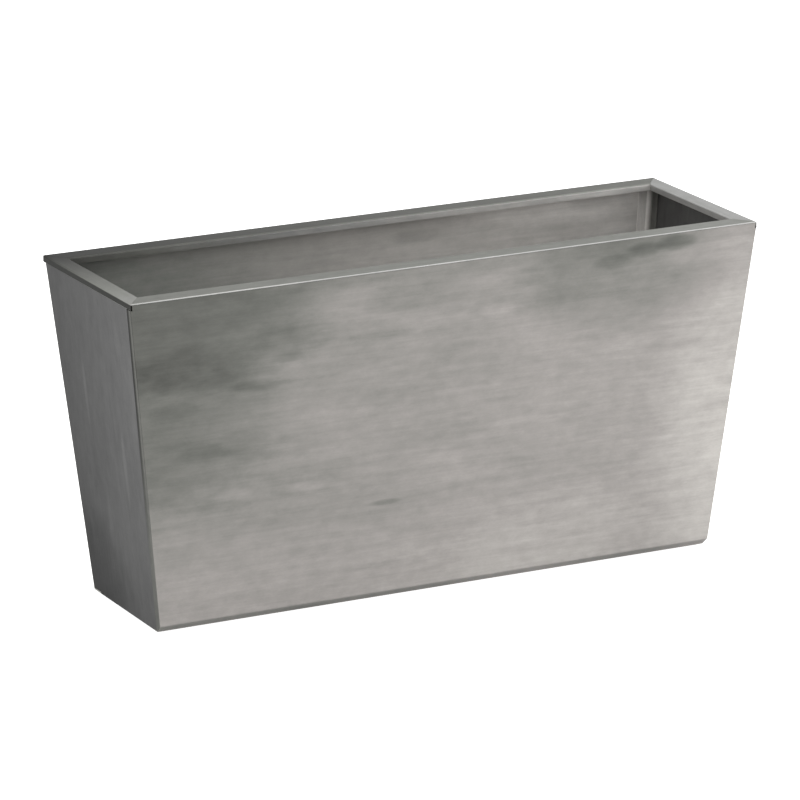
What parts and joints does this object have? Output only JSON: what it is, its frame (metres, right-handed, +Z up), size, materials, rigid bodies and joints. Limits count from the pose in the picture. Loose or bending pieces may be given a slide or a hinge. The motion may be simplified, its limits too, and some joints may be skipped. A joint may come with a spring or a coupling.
{
  "type": "trough planter",
  "caption": "Tapered rectangular trough planter folded from brushed sheet metal, with a mitred turned-down rim, raised drained base, cross ties, screw feet and lift-out plugs.",
  "frame": {"origin": "bottom centre: on the floor under the middle of the planter", "axes": "+X along the planter's length, +Y towards its back, +Z up"},
  "size_m": [1, 0.3, 0.5],
  "materials": {
    "brushed_panel": "fine brushed, cloudy grey patina",
    "brushed_rim": "fine brushed along the rail",
    "brushed_strip": "fine brushed",
    "mill_steel": "mill finish",
    "zinc_pan": "zinc coated",
    "zinc_fastener": "bright zinc",
    "black_plastic": "moulded",
    "black_rubber": "moulded"
  },
  "bodies": {
    "planter_body": {"front_panel": "brushed_panel", "back_panel": "brushed_panel", "left_end_panel": "brushed_panel", "right_end_panel": "brushed_panel", "front_rim_rail": "brushed_rim", "back_rim_rail": "brushed_rim", "left_rim_rail": "brushed_rim", "right_rim_rail": "brushed_rim", "rim_corner_plate_front_left": "mill_steel", "rim_corner_plate_front_right": "mill_steel", "rim_corner_plate_back_left": "mill_steel", "rim_corner_plate_back_right": "mill_steel", "corner_strip_front_left": "brushed_strip", "corner_strip_front_right": "brushed_strip", "corner_strip_back_left": "brushed_strip", "corner_strip_back_right": "brushed_strip", "base_pan": "zinc_pan", "left_bearer": "zinc_pan", "middle_bearer": "zinc_pan", "right_bearer": "zinc_pan", "left_cross_tie": "mill_steel", "right_cross_tie": "mill_steel", "tie_lug_left_front": "mill_steel", "tie_lug_left_back": "mill_steel", "tie_lug_right_back": "mill_steel", "tie_lug_right_front": "mill_steel", "rim_studs": "zinc_fastener", "rim_nuts": "zinc_fastener", "foot_weld_nuts": "zinc_fastener", "tie_bolts": "zinc_fastener", "tie_washers": "zinc_fastener", "tie_nuts": "zinc_fastener", "drain_bush_left": "black_plastic", "drain_bush_right": "black_plastic", "drain_locknut_left": "black_plastic", "drain_locknut_right": "black_plastic"},
    "front_left_pad": {"foot_pad_front_left": "black_rubber"},
    "front_left_screw": {"foot_screw_front_left": "zinc_fastener"},
    "front_right_pad": {"foot_pad_front_right": "black_rubber"},
    "front_right_screw": {"foot_screw_front_right": "zinc_fastener"},
    "back_left_pad": {"foot_pad_back_left": "black_rubber"},
    "back_left_screw": {"foot_screw_back_left": "zinc_fastener"},
    "back_right_pad": {"foot_pad_back_right": "black_rubber"},
    "back_right_screw": {"foot_screw_back_right": "zinc_fastener"},
    "left_plug": {"drain_plug_left": "black_rubber"},
    "right_plug": {"drain_plug_right": "black_rubber"}
  },
  "joints": [
    {"name": "foot_travel_front_left", "type": "slide", "parent": "planter_body", "child": "front_left_pad", "axis": [0, 0, -1], "range_m": [0, 0.015]},
    {"name": "foot_turn_front_left", "type": "hinge", "parent": "front_left_pad", "child": "front_left_screw", "pos_m": [-0.33, -0.066, 0.02], "axis": [0, 0, -1], "range_deg": [0, 3600]},
    {"name": "foot_travel_front_right", "type": "slide", "parent": "planter_body", "child": "front_right_pad", "axis": [0, 0, -1], "range_m": [0, 0.015]},
    {"name": "foot_turn_front_right", "type": "hinge", "parent": "front_right_pad", "child": "front_right_screw", "pos_m": [0.33, -0.066, 0.02], "axis": [0, 0, -1], "range_deg": [0, 3600]},
    {"name": "foot_travel_back_left", "type": "slide", "parent": "planter_body", "child": "back_left_pad", "axis": [0, 0, -1], "range_m": [0, 0.015]},
    {"name": "foot_turn_back_left", "type": "hinge", "parent": "back_left_pad", "child": "back_left_screw", "pos_m": [-0.33, 0.066, 0.02], "axis": [0, 0, -1], "range_deg": [0, 3600]},
    {"name": "foot_travel_back_right", "type": "slide", "parent": "planter_body", "child": "back_right_pad", "axis": [0, 0, -1], "range_m": [0, 0.015]},
    {"name": "foot_turn_back_right", "type": "hinge", "parent": "back_right_pad", "child": "back_right_screw", "pos_m": [0.33, 0.066, 0.02], "axis": [0, 0, -1], "range_deg": [0, 3600]},
    {"name": "plug_lift_left", "type": "slide", "parent": "planter_body", "child": "left_plug", "axis": [0, 0, 1], "range_m": [0, 0.05]},
    {"name": "plug_lift_right", "type": "slide", "parent": "planter_body", "child": "right_plug", "axis": [0, 0, 1], "range_m": [0, 0.05]}
  ],
  "couplings": [
    {"joint": "foot_turn_front_left", "follows": "foot_travel_front_left", "rad_per_m": 4188.8},
    {"joint": "foot_turn_front_right", "follows": "foot_travel_front_right", "rad_per_m": 4188.8},
    {"joint": "foot_turn_back_left", "follows": "foot_travel_back_left", "rad_per_m": 4188.8},
    {"joint": "foot_turn_back_right", "follows": "foot_travel_back_right", "rad_per_m": 4188.8}
  ]
}
